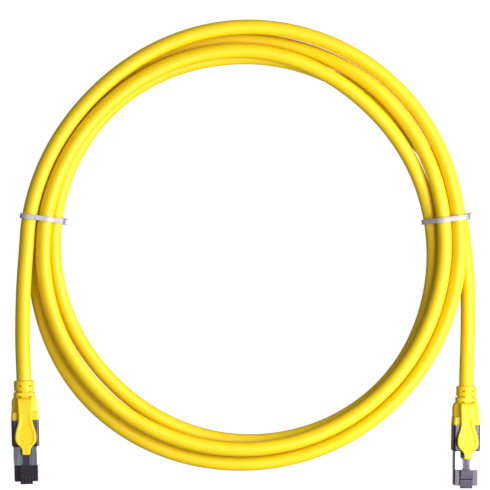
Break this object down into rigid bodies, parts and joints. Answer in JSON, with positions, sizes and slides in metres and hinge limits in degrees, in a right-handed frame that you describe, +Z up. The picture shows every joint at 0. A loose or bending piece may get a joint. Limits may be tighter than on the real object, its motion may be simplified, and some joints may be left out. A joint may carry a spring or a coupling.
{
  "type": "ethernet patch cable",
  "caption": "Shielded network patch cable wound into a round coil, held by cable ties, with a moulded plug, latch and release lever on each end.",
  "frame": {"origin": "on the surface that the cable lies on, midway between the two plugs", "axes": "+X from the left plug to the right plug, +Y from the plugs' noses back towards the coil, +Z up"},
  "size_m": [0.2342, 0.233, 0.0179],
  "materials": {
    "jacket": "smooth satin PVC jacket",
    "boot_plastic": "satin moulded boot and lever",
    "smoke_plastic": "clear smoky polycarbonate",
    "nickel": "nickel-plated sheet",
    "contact_gold": "gold-plated blades",
    "white_plastic": "plain moulded",
    "wire_insulation": "smooth insulation",
    "foil": "bright foil",
    "braid": "tinned copper braid",
    "ferrule_steel": "plated steel",
    "tie_nylon": "translucent natural nylon"
  },
  "bodies": {
    "base": {"plug_housing_a": "smoke_plastic", "contacts_a": "contact_gold", "wire_manager_a": "white_plastic", "wires_a": "wire_insulation", "pair_foils_a": "foil", "front_shield_a": "nickel", "collar_a": "smoke_plastic", "braid_a": "braid", "ferrule_a": "ferrule_steel", "boot_a": "boot_plastic", "jacket_end_a": "jacket", "plug_housing_b": "smoke_plastic", "contacts_b": "contact_gold", "wire_manager_b": "white_plastic", "wires_b": "wire_insulation", "pair_foils_b": "foil", "front_shield_b": "nickel", "collar_b": "smoke_plastic", "braid_b": "braid", "ferrule_b": "ferrule_steel", "boot_b": "boot_plastic", "jacket_end_b": "jacket", "cable_tail_a": "jacket", "cable_coil": "jacket", "cable_tail_b": "jacket", "tie_left": "tie_nylon", "tie_right": "tie_nylon"},
    "lever_a": {"release_lever_a": "boot_plastic"},
    "latch_a": {"latch_a": "smoke_plastic"},
    "lever_b": {"release_lever_b": "boot_plastic"},
    "latch_b": {"latch_b": "smoke_plastic"}
  },
  "joints": [
    {"name": "lever_a_press", "type": "hinge", "parent": "base", "child": "lever_a", "pos_m": [-0.11041, 0.01026, 0.0103], "axis": [0.9997, 0.0262, 0], "range_deg": [0, 7], "stiffness_Nm_per_rad": 0.05},
    {"name": "latch_a_bend", "type": "hinge", "parent": "base", "child": "latch_a", "pos_m": [-0.10957, -0.02193, 0.0079], "axis": [-0.9997, -0.0262, 0], "range_deg": [0, 8.5], "stiffness_Nm_per_rad": 0.05},
    {"name": "lever_b_press", "type": "hinge", "parent": "base", "child": "lever_b", "pos_m": [0.11043, 0.00664, 0.0103], "axis": [0.9999, -0.0131, 0], "range_deg": [0, 7], "stiffness_Nm_per_rad": 0.05},
    {"name": "latch_b_bend", "type": "hinge", "parent": "base", "child": "latch_b", "pos_m": [0.11001, -0.02556, 0.0079], "axis": [-0.9999, 0.0131, 0], "range_deg": [0, 8.5], "stiffness_Nm_per_rad": 0.05}
  ],
  "couplings": [
    {"joint": "latch_a_bend", "follows": "lever_a_press", "ratio": 1.2},
    {"joint": "latch_b_bend", "follows": "lever_b_press", "ratio": 1.2}
  ]
}
